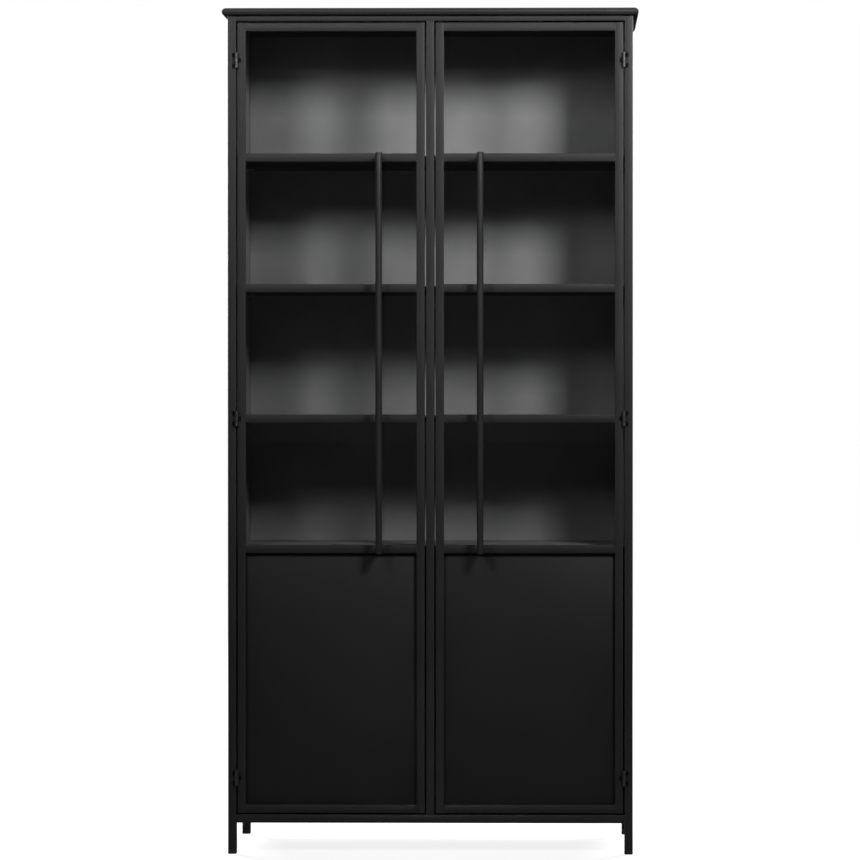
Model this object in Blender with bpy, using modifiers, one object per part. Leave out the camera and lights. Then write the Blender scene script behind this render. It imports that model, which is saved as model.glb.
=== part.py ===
"""Tall two-door display cabinet in black powder-coated steel and glass.

A welded frame of square tube carries folded sheet panels, four fixed shelves, a
bullnose top cap and two doors.  Each door has glass behind four transoms, a sheet
panel below, a long round bar handle and three barrel hinges on its outer edge.

Origin: centre of the footprint, on the floor.  +Z is up and the doors face -Y.
All sizes are in metres.
"""
import bpy
import bmesh
from math import asin, cos, pi, radians, sin
from mathutils import Matrix, Vector

# ---- driving dimensions -------------------------------------------------------------
CARCASS_WIDTH = 0.972
CARCASS_DEPTH = 0.360
TOTAL_HEIGHT = 2.030

TUBE = 0.020              # side of every frame tube
TUBE_WALL = 0.0012
TUBE_CORNER = 0.0015
SHEET = 0.0010            # panels and shelves
CONTACT_GAP = 0.0003      # left between pieces that touch

CAP_OVERHANG = 0.014      # past the carcass at the front and both sides
CAP_THICKNESS = 0.018
CAP_EDGE_RADIUS = 0.0085
CAP_SHEET = 0.0012

TOP_RAIL_DROP = 0.031     # top of the cap to the underside of the top rails
LEG_CLEARANCE = 0.075     # floor to the underside of the base rails
FOOT_HEIGHT = 0.010

DOOR_DEPTH = 0.012        # front to back of the door's own tubes
DOOR_SIDE_GAP = 0.003
DOOR_END_GAP = 0.004
PANE_PITCH = 0.313        # between the centre lines of the transoms
TRANSOM_COUNT = 4
FILLING_DEPTH = 0.004     # glass thickness, and depth of the lower panel's folded edge
EDGE_COVER = 0.008        # how far glass and panel lie behind stiles and end rails
FILLING_GAP = 0.004       # between glass and panel, behind the lowest transom

SHELF_THICKNESS = 0.014
SHELF_ABOVE_TRANSOM = 0.0055   # shelf top over the transom's centre line
SHELF_SETBACK = 0.028          # carcass front to shelf front
SHELF_SIDE_GAP = 0.001
PANEL_RETURN = 0.010           # folded edge of the side, back and floor panels

HANDLE_X = 0.121          # bar to the cabinet's middle
HANDLE_RADIUS = 0.008
HANDLE_REACH = 0.043      # door face to the bar's axis
HANDLE_OVERRUN = 0.010    # bar past its standoffs
HANDLE_END_RADIUS = 0.0025
STANDOFF_RADIUS = 0.007

HINGE_HEIGHTS = {"lower": 0.183, "middle": 1.046, "upper": 1.905}
HINGE_LENGTH = 0.037
HINGE_RADIUS = 0.0045
HINGE_LEAF = 0.0015       # leaf thickness
HINGE_LEAF_REACH = 0.006  # leaf past the barrel
KNUCKLE_GAP = 0.0004
PIN_RADIUS = 0.0024
BORE_RADIUS = 0.0026
HINGE_STEPS = 20          # facets around the hinge barrels
HANDLE_STEPS = 28         # facets around the handles

# ---- places worked out from them ----------------------------------------------------
HANDLE_PROJECTION = HANDLE_REACH + HANDLE_RADIUS
CAP_BACK_REACH = CONTACT_GAP + CAP_SHEET
OVERALL_DEPTH = HANDLE_PROJECTION + CARCASS_DEPTH + CAP_BACK_REACH
FRONT_Y = -OVERALL_DEPTH / 2 + HANDLE_PROJECTION
BACK_Y = FRONT_Y + CARCASS_DEPTH
OUTER_X = CARCASS_WIDTH / 2
INNER_X = OUTER_X - TUBE
POST_X = OUTER_X - TUBE / 2
FRONT_POST_Y = FRONT_Y + TUBE / 2
BACK_POST_Y = BACK_Y - TUBE / 2

POST_TOP = TOTAL_HEIGHT - CAP_SHEET - CONTACT_GAP
TOP_RAIL_BOTTOM = TOTAL_HEIGHT - TOP_RAIL_DROP
BASE_RAIL_TOP = LEG_CLEARANCE + TUBE

DOOR_OUTER_X = INNER_X - DOOR_SIDE_GAP
DOOR_INNER_X = TUBE / 2 + DOOR_SIDE_GAP
DOOR_MIDDLE_X = (DOOR_OUTER_X + DOOR_INNER_X) / 2
DOOR_BOTTOM = BASE_RAIL_TOP + DOOR_END_GAP
DOOR_TOP = TOP_RAIL_BOTTOM - DOOR_END_GAP
DOOR_TUBE_Y = FRONT_Y + DOOR_DEPTH / 2
DOOR_BACK_Y = FRONT_Y + DOOR_DEPTH
FILLING_Y = DOOR_BACK_Y + CONTACT_GAP + FILLING_DEPTH / 2
RAIL_TOP_Z = DOOR_TOP - TUBE / 2
RAIL_BOTTOM_Z = DOOR_BOTTOM + TUBE / 2
TRANSOM_Z = [RAIL_TOP_Z - PANE_PITCH * step for step in range(1, TRANSOM_COUNT + 1)]
HINGE_X = INNER_X - DOOR_SIDE_GAP / 2
HINGE_Y = FRONT_Y - HINGE_RADIUS - CONTACT_GAP
KNUCKLE_HEIGHT = (HINGE_LENGTH - 2 * KNUCKLE_GAP) / 3

SIDES = (("left", -1), ("right", 1))
AXIS_ROTATION = {"X": (0.0, pi / 2, 0.0), "Y": (pi / 2, 0.0, 0.0), "Z": (0.0, 0.0, 0.0)}


# ---- scene, materials and small helpers ---------------------------------------------
def clear_scene():
    """Remove what the scene holds."""
    for obj in list(bpy.data.objects):
        bpy.data.objects.remove(obj, do_unlink=True)


def new_collection(name):
    """Collection of its own under the scene's."""
    collection = bpy.data.collections.new(name)
    bpy.context.scene.collection.children.link(collection)
    return collection


def finish(name, colour, roughness, metallic=0.0, alpha=1.0):
    """Principled material."""
    material = bpy.data.materials.new(name)
    material.use_nodes = True
    shader = material.node_tree.nodes["Principled BSDF"]
    shader.inputs["Base Color"].default_value = (*colour, 1.0)
    shader.inputs["Roughness"].default_value = roughness
    shader.inputs["Metallic"].default_value = metallic
    shader.inputs["Alpha"].default_value = alpha
    material.diffuse_color = (*colour, alpha)
    return material


def box_bmesh(size):
    """Box about the origin."""
    bm = bmesh.new()
    bmesh.ops.create_cube(bm, size=1.0)
    bmesh.ops.scale(bm, vec=size, verts=bm.verts)
    return bm


def mesh_from(bm, name):
    """Mesh that takes over a bmesh."""
    mesh = bpy.data.meshes.new(name)
    bm.to_mesh(mesh)
    bm.free()
    return mesh


def add_object(name, data, centre, material=None, parent=None):
    """Object in the cabinet's collection; centre is in world space."""
    obj = bpy.data.objects.new(name, data)
    if material is not None:
        data.materials.append(material)
    cabinet.objects.link(obj)
    obj.location = centre
    if parent is not None:
        obj.parent = parent
        obj.location = Vector(centre) - parent.location
    return obj


def round_edges(obj, radius, segments=2):
    """Bevel on every sharp edge."""
    bevel = obj.modifiers.new("rounded_edges", "BEVEL")
    bevel.width = radius
    bevel.segments = segments
    bevel.limit_method = "ANGLE"
    bevel.angle_limit = radians(40)


def thicken(obj, thickness):
    """Solidify inwards from an open surface."""
    solidify = obj.modifiers.new("sheet", "SOLIDIFY")
    solidify.thickness = thickness
    solidify.offset = -1.0
    solidify.use_even_offset = True


def cut(obj, cutter):
    """Boolean difference with a cutter object."""
    boolean = obj.modifiers.new("cut_" + cutter.name, "BOOLEAN")
    boolean.operation = "DIFFERENCE"
    boolean.solver = "EXACT"
    boolean.object = cutter


def add_cutter(name, mesh, centre):
    """Cutter object, which is not part of the cabinet."""
    obj = bpy.data.objects.new(name, mesh)
    cutters.objects.link(obj)
    obj.location = centre
    obj.hide_render = True
    obj.display_type = "WIRE"
    return obj


def shade_round(mesh):
    """Smooth shading that keeps edges over 35 degrees sharp."""
    mesh.shade_smooth()
    mesh.set_sharp_from_angle(angle=radians(35))


def frozen_mesh(obj):
    """Welded mesh of an unlinked helper object, which is removed."""
    bpy.context.scene.collection.objects.link(obj)
    depsgraph = bpy.context.evaluated_depsgraph_get()
    mesh = bpy.data.meshes.new_from_object(obj.evaluated_get(depsgraph))
    bpy.data.objects.remove(obj, do_unlink=True)
    bm = bmesh.new()
    bm.from_mesh(mesh)
    bmesh.ops.remove_doubles(bm, verts=bm.verts, dist=0.00001)
    bmesh.ops.recalc_face_normals(bm, faces=bm.faces)
    bm.to_mesh(mesh)
    bm.free()
    return mesh


def turned_mesh(profile, steps):
    """Solid turned about Z from (radius, height) points, listed from top to bottom."""
    bm = bmesh.new()
    points = [bm.verts.new((radius, 0.0, height)) for radius, height in profile]
    for upper, lower in zip(points, points[1:]):
        bm.edges.new((upper, lower))
    helper = bpy.data.objects.new("turned", mesh_from(bm, "turned"))
    screw = helper.modifiers.new("turn", "SCREW")
    screw.axis = "Z"
    screw.steps = steps
    screw.render_steps = steps
    screw.use_merge_vertices = True
    screw.merge_threshold = 0.0001
    return frozen_mesh(helper)


def outline_mesh(outlines, height):
    """Solid extruded about Z = 0 from closed (x, y) outlines; an inner outline is a hole."""
    curve = bpy.data.curves.new("outline", "CURVE")
    curve.dimensions = "2D"
    curve.fill_mode = "BOTH"
    curve.extrude = height / 2
    for outline in outlines:
        spline = curve.splines.new("POLY")
        spline.points.add(len(outline) - 1)
        for point, (x, y) in zip(spline.points, outline):
            point.co = (x, y, 0.0, 1.0)
        spline.use_cyclic_u = True
    return frozen_mesh(bpy.data.objects.new("outline", curve))


def joined_mesh(base, additions):
    """Boolean union of a mesh with the (mesh, matrix) pairs that overlap it."""
    helper = bpy.data.objects.new("joined", base)
    extras = []
    for mesh, matrix in additions:
        extra = bpy.data.objects.new("addition", mesh)
        bpy.context.scene.collection.objects.link(extra)
        extra.matrix_world = matrix
        extras.append(extra)
        boolean = helper.modifiers.new("join", "BOOLEAN")
        boolean.operation = "UNION"
        boolean.solver = "EXACT"
        boolean.object = extra
    joined = frozen_mesh(helper)
    for extra in extras:
        bpy.data.objects.remove(extra, do_unlink=True)
    return joined


# ---- the two kinds of steelwork -------------------------------------------------------
def square_tube(name, centre, length, axis, parent=None, depth=TUBE):
    """Open-ended hollow tube along a world axis, with rounded long edges."""
    bm = box_bmesh((TUBE, depth, length))
    ends = [face for face in bm.faces if abs(face.normal.z) > 0.5]
    bmesh.ops.delete(bm, geom=ends, context="FACES_ONLY")
    tube = add_object(name, mesh_from(bm, name), centre, black_coat, parent)
    tube.rotation_euler = AXIS_ROTATION[axis]
    round_edges(tube, TUBE_CORNER)
    thicken(tube, TUBE_WALL)


def folded_panel(name, low, high, open_side, material, parent=None):
    """Sheet panel between two corners, with folded edges that point to its open side."""
    low = Vector(low)
    high = Vector(high)
    bm = box_bmesh(high - low)
    opening = [face for face in bm.faces if face.normal.dot(Vector(open_side)) > 0.5]
    bmesh.ops.delete(bm, geom=opening, context="FACES_ONLY")
    panel = add_object(name, mesh_from(bm, name), (low + high) / 2, material, parent)
    round_edges(panel, SHEET * 1.5)
    thicken(panel, SHEET)


# ---- carcass ------------------------------------------------------------------------
def build_posts():
    """Four corner posts from the feet to the cap, and the centre post between rails."""
    length = POST_TOP - FOOT_HEIGHT - CONTACT_GAP
    middle = POST_TOP - length / 2
    for place, y in (("front", FRONT_POST_Y), ("rear", BACK_POST_Y)):
        for side, sign in SIDES:
            square_tube(f"post_{place}_{side}", (sign * POST_X, y, middle), length, "Z")
    length = TOP_RAIL_BOTTOM - BASE_RAIL_TOP - 2 * CONTACT_GAP
    middle = (TOP_RAIL_BOTTOM + BASE_RAIL_TOP) / 2
    square_tube("post_centre", (0.0, FRONT_POST_Y, middle), length, "Z")


def build_rails():
    """Rails between the corner posts: front and rear at the top, all round at the base."""
    across = 2 * INNER_X - 2 * CONTACT_GAP
    for level, bottom in (("top", TOP_RAIL_BOTTOM), ("base", LEG_CLEARANCE)):
        z = bottom + TUBE / 2
        square_tube(f"{level}_rail_front", (0.0, FRONT_POST_Y, z), across, "X")
        square_tube(f"{level}_rail_rear", (0.0, BACK_POST_Y, z), across, "X")
    along = CARCASS_DEPTH - 2 * TUBE - 2 * CONTACT_GAP
    middle_y = (FRONT_Y + BACK_Y) / 2
    for side, sign in SIDES:
        centre = (sign * POST_X, middle_y, LEG_CLEARANCE + TUBE / 2)
        square_tube(f"base_rail_{side}", centre, along, "Y")


def bullnose_mesh(width, depth, height, radius):
    """Box whose front and side edges are rounded and whose back is square."""
    bm = box_bmesh((width, depth, height))
    weight = bm.edges.layers.float.new("bevel_weight_edge")
    for edge in bm.edges:
        on_back = all(vertex.co.y > 0 for vertex in edge.verts)
        edge[weight] = 0.0 if on_back else 1.0
    helper = bpy.data.objects.new("bullnose", mesh_from(bm, "bullnose"))
    bevel = helper.modifiers.new("bullnose", "BEVEL")
    bevel.width = radius
    bevel.segments = 6
    bevel.limit_method = "WEIGHT"
    return frozen_mesh(helper)


def build_top_cap():
    """Sheet cap with a bullnose edge; its underside is open over the frame."""
    width = CARCASS_WIDTH + 2 * CAP_OVERHANG
    depth = CARCASS_DEPTH + CAP_OVERHANG + CAP_BACK_REACH
    middle_y = FRONT_Y - CAP_OVERHANG + depth / 2
    middle_z = TOTAL_HEIGHT - CAP_THICKNESS / 2
    outside = bullnose_mesh(width, depth, CAP_THICKNESS, CAP_EDGE_RADIUS)
    shade_round(outside)
    cap = add_object("top_cap", outside, (0.0, middle_y, middle_z), black_coat)

    inside = bullnose_mesh(width - 2 * CAP_SHEET, depth - 2 * CAP_SHEET,
                           CAP_THICKNESS - 2 * CAP_SHEET, CAP_EDGE_RADIUS - CAP_SHEET)
    cut(cap, add_cutter("cap_hollow", inside, (0.0, middle_y, middle_z)))

    hole_size = (CARCASS_WIDTH + 2 * CONTACT_GAP, CARCASS_DEPTH + 2 * CONTACT_GAP,
                 CAP_THICKNESS)
    hole_top = TOTAL_HEIGHT - CAP_SHEET * 2
    hole_place = (0.0, (FRONT_Y + BACK_Y) / 2, hole_top - CAP_THICKNESS / 2)
    hole = mesh_from(box_bmesh(hole_size), "cap_opening")
    cut(cap, add_cutter("cap_opening", hole, hole_place))


def build_panels():
    """Side, back and floor panels, flush with the inner faces of the frame."""
    low_y = FRONT_Y + TUBE + CONTACT_GAP
    high_y = BACK_Y - TUBE - CONTACT_GAP
    low_z = BASE_RAIL_TOP + CONTACT_GAP
    folded_panel("side_panel_left", (-INNER_X - PANEL_RETURN, low_y, low_z),
                 (-INNER_X, high_y, POST_TOP), (-1, 0, 0), grey_coat)
    folded_panel("side_panel_right", (INNER_X, low_y, low_z),
                 (INNER_X + PANEL_RETURN, high_y, POST_TOP), (1, 0, 0), grey_coat)
    reach_x = INNER_X - CONTACT_GAP
    back_y = BACK_Y - TUBE
    folded_panel("back_panel", (-reach_x, back_y, low_z),
                 (reach_x, back_y + PANEL_RETURN, TOP_RAIL_BOTTOM - CONTACT_GAP),
                 (0, 1, 0), grey_coat)
    folded_panel("floor_panel", (-reach_x, low_y, BASE_RAIL_TOP - PANEL_RETURN),
                 (reach_x, high_y, BASE_RAIL_TOP), (0, 0, -1), grey_coat)


def build_shelves():
    """Four folded shelves, level with the door transoms."""
    reach_x = INNER_X - SHELF_SIDE_GAP
    low_y = FRONT_Y + SHELF_SETBACK
    high_y = BACK_Y - TUBE - CONTACT_GAP
    for number, transom_z in enumerate(TRANSOM_Z, start=1):
        top = transom_z + SHELF_ABOVE_TRANSOM
        bottom = top - SHELF_THICKNESS
        folded_panel(f"shelf_{number}", (-reach_x, low_y, bottom), (reach_x, high_y, top),
                     (0, 0, -1), black_coat)


def build_foot_caps():
    """Plastic foot under each post, with a plug that goes up into the tube."""
    base = TUBE + 0.0004
    plug = TUBE - 2 * TUBE_WALL - 0.0014
    plug_height = 0.014
    block = mesh_from(box_bmesh((base, base, FOOT_HEIGHT)), "foot")
    stem = mesh_from(box_bmesh((plug, plug, plug_height + FOOT_HEIGHT / 2)), "plug")
    stem_place = Matrix.Translation((0.0, 0.0, (plug_height + FOOT_HEIGHT / 2) / 2))
    foot = joined_mesh(block, [(stem, stem_place)])
    foot.materials.append(black_plastic)
    for place, y in (("front", FRONT_POST_Y), ("rear", BACK_POST_Y)):
        for side, sign in SIDES:
            centre = (sign * POST_X, y, FOOT_HEIGHT / 2)
            cap = add_object(f"foot_cap_{place}_{side}", foot, centre)
            round_edges(cap, 0.0005)


def build_magnetic_catches():
    """Catch block under the top rail, behind the lock stile of each door."""
    size = (0.036, 0.018, 0.014)
    gap_to_door = 0.0008
    y = DOOR_BACK_Y + gap_to_door + size[1] / 2
    z = TOP_RAIL_BOTTOM - CONTACT_GAP - size[2] / 2
    for side, sign in SIDES:
        x = sign * (DOOR_INNER_X + TUBE * 2)
        block = mesh_from(box_bmesh(size), f"{side}_magnetic_catch")
        catch = add_object(f"{side}_magnetic_catch", block, (x, y, z), black_plastic)
        round_edges(catch, 0.0010)


# ---- hinges ---------------------------------------------------------------------------
def arc(radius, steps, start, sweep):
    """Points of an arc about the origin, both ends included."""
    angles = [start + sweep * step / steps for step in range(steps + 1)]
    return [(radius * cos(angle), radius * sin(angle)) for angle in angles]


def door_knuckle_mesh(leaf_sign):
    """Barrel ring with a leaf that lies along the door's face, towards leaf_sign in X."""
    leaf_front = HINGE_RADIUS - HINGE_LEAF
    meets = asin(leaf_front / HINGE_RADIUS)
    barrel = arc(HINGE_RADIUS, HINGE_STEPS, pi / 2, 3 * pi / 2 + meets)
    tip = HINGE_RADIUS + HINGE_LEAF_REACH
    outline = barrel + [(tip, leaf_front), (tip, HINGE_RADIUS)]
    placed = [(leaf_sign * x, y) for x, y in outline]
    bore = arc(BORE_RADIUS, HINGE_STEPS, 0.0, 2 * pi)[:-1]
    return outline_mesh([placed, bore], KNUCKLE_HEIGHT)


def post_knuckles_mesh(leaf_sign):
    """Upper and lower knuckle on one fixed pin, each with a leaf towards leaf_sign in X."""
    end = HINGE_LENGTH / 2
    gap_edge = KNUCKLE_HEIGHT / 2 + KNUCKLE_GAP
    chamfer = 0.0008
    upper = [(0.0, end), (HINGE_RADIUS - chamfer, end), (HINGE_RADIUS, end - chamfer),
             (HINGE_RADIUS, gap_edge), (PIN_RADIUS, gap_edge)]
    lower = [(radius, -height) for radius, height in reversed(upper)]
    spool = turned_mesh(upper + lower, HINGE_STEPS)
    leaf_end = HINGE_RADIUS + HINGE_LEAF_REACH
    margin = 0.0008
    leaf = mesh_from(box_bmesh((leaf_end, HINGE_LEAF, KNUCKLE_HEIGHT - 2 * margin)), "leaf")
    leaf_y = HINGE_RADIUS - HINGE_LEAF / 2
    leaf_z = KNUCKLE_HEIGHT + KNUCKLE_GAP
    places = [Matrix.Translation((leaf_sign * leaf_end / 2, leaf_y, step * leaf_z))
              for step in (-1, 1)]
    return joined_mesh(spool, [(leaf, place) for place in places])


def build_post_hinges():
    """The half of each hinge that is welded to its post."""
    for side, sign in SIDES:
        mesh = post_knuckles_mesh(sign)
        mesh.materials.append(black_coat)
        shade_round(mesh)
        for place, z in HINGE_HEIGHTS.items():
            add_object(f"{side}_{place}_hinge_pin_half", mesh, (sign * HINGE_X, HINGE_Y, z))


# ---- doors ----------------------------------------------------------------------------
def door_axis(side, sign):
    """Empty on the hinge axis, which carries every piece of the door."""
    axis = bpy.data.objects.new(f"{side}_door_axis", None)
    cabinet.objects.link(axis)
    axis.location = (sign * HINGE_X, HINGE_Y, 0.0)
    return axis


def build_door_frame(side, sign, axis):
    """Two stiles, two end rails and four transoms."""
    height = DOOR_TOP - DOOR_BOTTOM
    middle_z = (DOOR_TOP + DOOR_BOTTOM) / 2
    stiles = {"hinge": DOOR_OUTER_X - TUBE / 2, "lock": DOOR_INNER_X + TUBE / 2}
    for place, x in stiles.items():
        square_tube(f"{side}_door_{place}_stile", (sign * x, DOOR_TUBE_Y, middle_z), height,
                    "Z", axis, DOOR_DEPTH)
    width = DOOR_OUTER_X - DOOR_INNER_X - 2 * TUBE - 2 * CONTACT_GAP
    levels = {"top_rail": RAIL_TOP_Z, "bottom_rail": RAIL_BOTTOM_Z}
    for number, z in enumerate(TRANSOM_Z, start=1):
        levels[f"transom_{number}"] = z
    for place, z in levels.items():
        square_tube(f"{side}_door_{place}", (sign * DOOR_MIDDLE_X, DOOR_TUBE_Y, z), width,
                    "X", axis, DOOR_DEPTH)


def build_door_fillings(side, sign, axis):
    """Glass behind the transoms and a sheet panel below it, both bonded to the frame."""
    width = DOOR_OUTER_X - DOOR_INNER_X - 2 * TUBE + 2 * EDGE_COVER
    middle_x = sign * DOOR_MIDDLE_X
    low = TRANSOM_Z[-1] + FILLING_GAP / 2
    high = RAIL_TOP_Z - TUBE / 2 + EDGE_COVER
    sheet = mesh_from(box_bmesh((width, FILLING_DEPTH, high - low)), f"{side}_door_glass")
    glass = add_object(f"{side}_door_glass", sheet, (middle_x, FILLING_Y, (low + high) / 2),
                       clear_glass, axis)
    round_edges(glass, 0.0005, 1)

    low = RAIL_BOTTOM_Z + TUBE / 2 - EDGE_COVER
    high = TRANSOM_Z[-1] - FILLING_GAP / 2
    folded_panel(f"{side}_door_lower_panel",
                 (middle_x - width / 2, FILLING_Y - FILLING_DEPTH / 2, low),
                 (middle_x + width / 2, FILLING_Y + FILLING_DEPTH / 2, high),
                 (0, 1, 0), black_coat, axis)


def build_handle(side, sign, axis):
    """Round bar with softly rounded ends, welded to two standoffs."""
    low = TRANSOM_Z[-1] - HANDLE_OVERRUN
    high = TRANSOM_Z[0] + HANDLE_OVERRUN
    half = (high - low) / 2
    corner = arc(HANDLE_END_RADIUS, 3, pi / 2, -pi / 2)
    end = [(HANDLE_RADIUS - HANDLE_END_RADIUS + x, half - HANDLE_END_RADIUS + z)
           for x, z in corner]
    upper = [(0.0, half)] + end
    lower = [(radius, -height) for radius, height in reversed(upper)]
    bar = turned_mesh(upper + lower, HANDLE_STEPS)

    length = HANDLE_REACH - CONTACT_GAP
    standoff = turned_mesh([(0.0, length), (STANDOFF_RADIUS, length), (STANDOFF_RADIUS, 0.0),
                            (0.0, 0.0)], HANDLE_STEPS)
    forwards = Matrix.Rotation(pi / 2, 4, "X")
    reach = half - HANDLE_OVERRUN
    places = [Matrix.Translation((0.0, length, step * reach)) @ forwards for step in (-1, 1)]
    mesh = joined_mesh(bar, [(standoff, place) for place in places])
    shade_round(mesh)
    centre = (sign * HANDLE_X, FRONT_Y - HANDLE_REACH, (low + high) / 2)
    add_object(f"{side}_door_handle", mesh, centre, black_coat, axis)


def build_door_hinges(side, sign, axis):
    """The half of each hinge that is welded to the door."""
    mesh = door_knuckle_mesh(-sign)
    mesh.materials.append(black_coat)
    shade_round(mesh)
    for place, z in HINGE_HEIGHTS.items():
        centre = (sign * HINGE_X, HINGE_Y, z)
        add_object(f"{side}_{place}_hinge_door_half", mesh, centre, parent=axis)


def build_door(side, sign):
    """Everything that swings with one door."""
    axis = door_axis(side, sign)
    build_door_frame(side, sign, axis)
    build_door_fillings(side, sign, axis)
    build_handle(side, sign, axis)
    build_door_hinges(side, sign, axis)


clear_scene()
cabinet = new_collection("display_cabinet")
cutters = new_collection("cutters")
black_coat = finish("black_powder_coat", (0.020, 0.020, 0.021), 0.45)
grey_coat = finish("graphite_grey_coat", (0.10, 0.10, 0.105), 0.50)
black_plastic = finish("black_plastic", (0.012, 0.012, 0.012), 0.60)
clear_glass = finish("clear_glass", (0.90, 0.94, 0.93), 0.03, alpha=0.2)

build_posts()
build_rails()
build_top_cap()
build_panels()
build_shelves()
build_foot_caps()
build_magnetic_catches()
build_post_hinges()
for door_side, door_sign in SIDES:
    build_door(door_side, door_sign)
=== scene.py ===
import math

import bmesh
import bpy
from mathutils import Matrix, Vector


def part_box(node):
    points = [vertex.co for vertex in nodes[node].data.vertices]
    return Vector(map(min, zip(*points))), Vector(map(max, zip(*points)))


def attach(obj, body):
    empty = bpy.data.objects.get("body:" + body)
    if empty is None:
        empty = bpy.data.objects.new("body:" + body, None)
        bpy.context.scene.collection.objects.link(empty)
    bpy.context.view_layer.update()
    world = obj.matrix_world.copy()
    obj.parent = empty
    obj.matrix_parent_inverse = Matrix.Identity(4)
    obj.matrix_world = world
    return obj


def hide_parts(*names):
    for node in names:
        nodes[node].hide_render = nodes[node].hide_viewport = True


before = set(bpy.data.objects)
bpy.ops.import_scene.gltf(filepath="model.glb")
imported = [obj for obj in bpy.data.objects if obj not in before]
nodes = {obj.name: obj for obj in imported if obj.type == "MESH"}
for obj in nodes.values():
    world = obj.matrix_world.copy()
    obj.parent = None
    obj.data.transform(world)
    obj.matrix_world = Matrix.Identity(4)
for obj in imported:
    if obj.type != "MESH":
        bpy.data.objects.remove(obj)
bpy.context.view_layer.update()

# ---------------------------------------------------------------- sizes, in metres
SIDES = ("left", "right")
HINGE_LEVELS = ("upper", "middle", "lower")
SHELVES = [f"shelf_{number}" for number in range(1, 5)]
TRANSOMS = [f"transom_{number}" for number in range(1, 5)]

FRONT_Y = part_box("post_front_left")[0].y
DOOR_BACK_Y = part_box("left_door_hinge_stile")[1].y
GLASS_BACK_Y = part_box("left_door_glass")[1].y
HINGE_AXIS_X = 0.4645
SEAM_SHIFT = 0.00015
SEAM_INSET = 0.0015

# A face looks along a direction when the cosine between them is above this.
FACING = 0.9
SPLIT_ANGLE = math.radians(34)

CAMERA_DISTANCE = 7.51
CAMERA_X = 0.307
CAMERA_Z = 1.114
CAMERA_YAW = math.radians(0.74)
CAMERA_PITCH = math.radians(-0.36)
CAMERA_LENS = 131.15
CAMERA_SHIFT_X = -0.1020
CAMERA_SHIFT_Y = -0.02335

SOFTBOXES = {
    "softbox_right": {
        "place": (1.68, FRONT_Y - 2.63, 2.97),
        "aim": (0.84, FRONT_Y, 2.78),
        "size": (0.77, 0.72),
        "power": 63.5,
        "beam": math.radians(97),
    },
    "softbox_left": {
        "place": (-1.35, FRONT_Y - 2.82, 2.95),
        "aim": (-0.55, FRONT_Y, 2.78),
        "size": (0.69, 1.10),
        "power": 22.5,
        "beam": math.radians(97),
    },
    "low_fill": {
        "place": (0.0, FRONT_Y - 2.2, 0.8),
        "aim": (0.0, FRONT_Y, -0.15),
        "size": (0.5, 0.3),
        "power": 0.45,
        "beam": math.radians(36),
    },
    "overhead_box": {
        "place": (0.0, 1.2, 4.4),
        "aim": (0.0, 0.9, 0.0),
        "size": (3.0, 2.0),
        "power": 35.0,
    },
}


# ---------------------------------------------------------------- material helpers
def new_material(name):
    """A material with an empty node tree and its output node."""
    material = bpy.data.materials.new(name)
    material.use_nodes = True
    tree = material.node_tree
    tree.nodes.clear()
    return material, tree, tree.nodes.new("ShaderNodeOutputMaterial")


def add_node(tree, kind, inputs=None, **settings):
    """A shader node with its settings and the values or links of its inputs."""
    node = tree.nodes.new("ShaderNode" + kind)
    for key, value in settings.items():
        setattr(node, key, value)
    for key, value in (inputs or {}).items():
        if isinstance(value, bpy.types.NodeSocket):
            tree.links.new(value, node.inputs[key])
        else:
            node.inputs[key].default_value = value
    return node


def noise(tree, place, scale, detail=2.0, roughness=0.5):
    """A noise field over the object's own coordinates; scale is in waves per metre."""
    values = {"Vector": place, "Scale": scale, "Detail": detail, "Roughness": roughness}
    return add_node(tree, "TexNoise", values).outputs["Fac"]


def spread(tree, value, low, high, from_low=0.3, from_high=0.7):
    """The value stretched to a new range and clamped to it."""
    limits = {"Value": value, "From Min": from_low, "From Max": from_high, "To Min": low, "To Max": high}
    return add_node(tree, "MapRange", limits).outputs["Result"]


def arithmetic(tree, operation, first, second):
    """The result of one math operation on two values."""
    return add_node(tree, "Math", {0: first, 1: second}, operation=operation).outputs[0]


def blend_colours(tree, factor, first, second):
    """A colour between two colours."""
    node = add_node(tree, "Mix", data_type="RGBA")
    for index, value in ((0, factor), (6, first), (7, second)):
        if isinstance(value, bpy.types.NodeSocket):
            tree.links.new(value, node.inputs[index])
        else:
            node.inputs[index].default_value = value
    return node.outputs[2]


def grey(value, warmth=0.0):
    """A near-neutral colour, a little warmer or cooler."""
    return (value * (1 + warmth), value, value * (1 - warmth), 1.0)


def upward(tree):
    """1 on faces that look up, 0 on all others."""
    normal = add_node(tree, "NewGeometry").outputs["Normal"]
    height = add_node(tree, "SeparateXYZ", {"Vector": normal}).outputs["Z"]
    return spread(tree, height, 0.0, 1.0, 0.6, 1.0)


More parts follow.
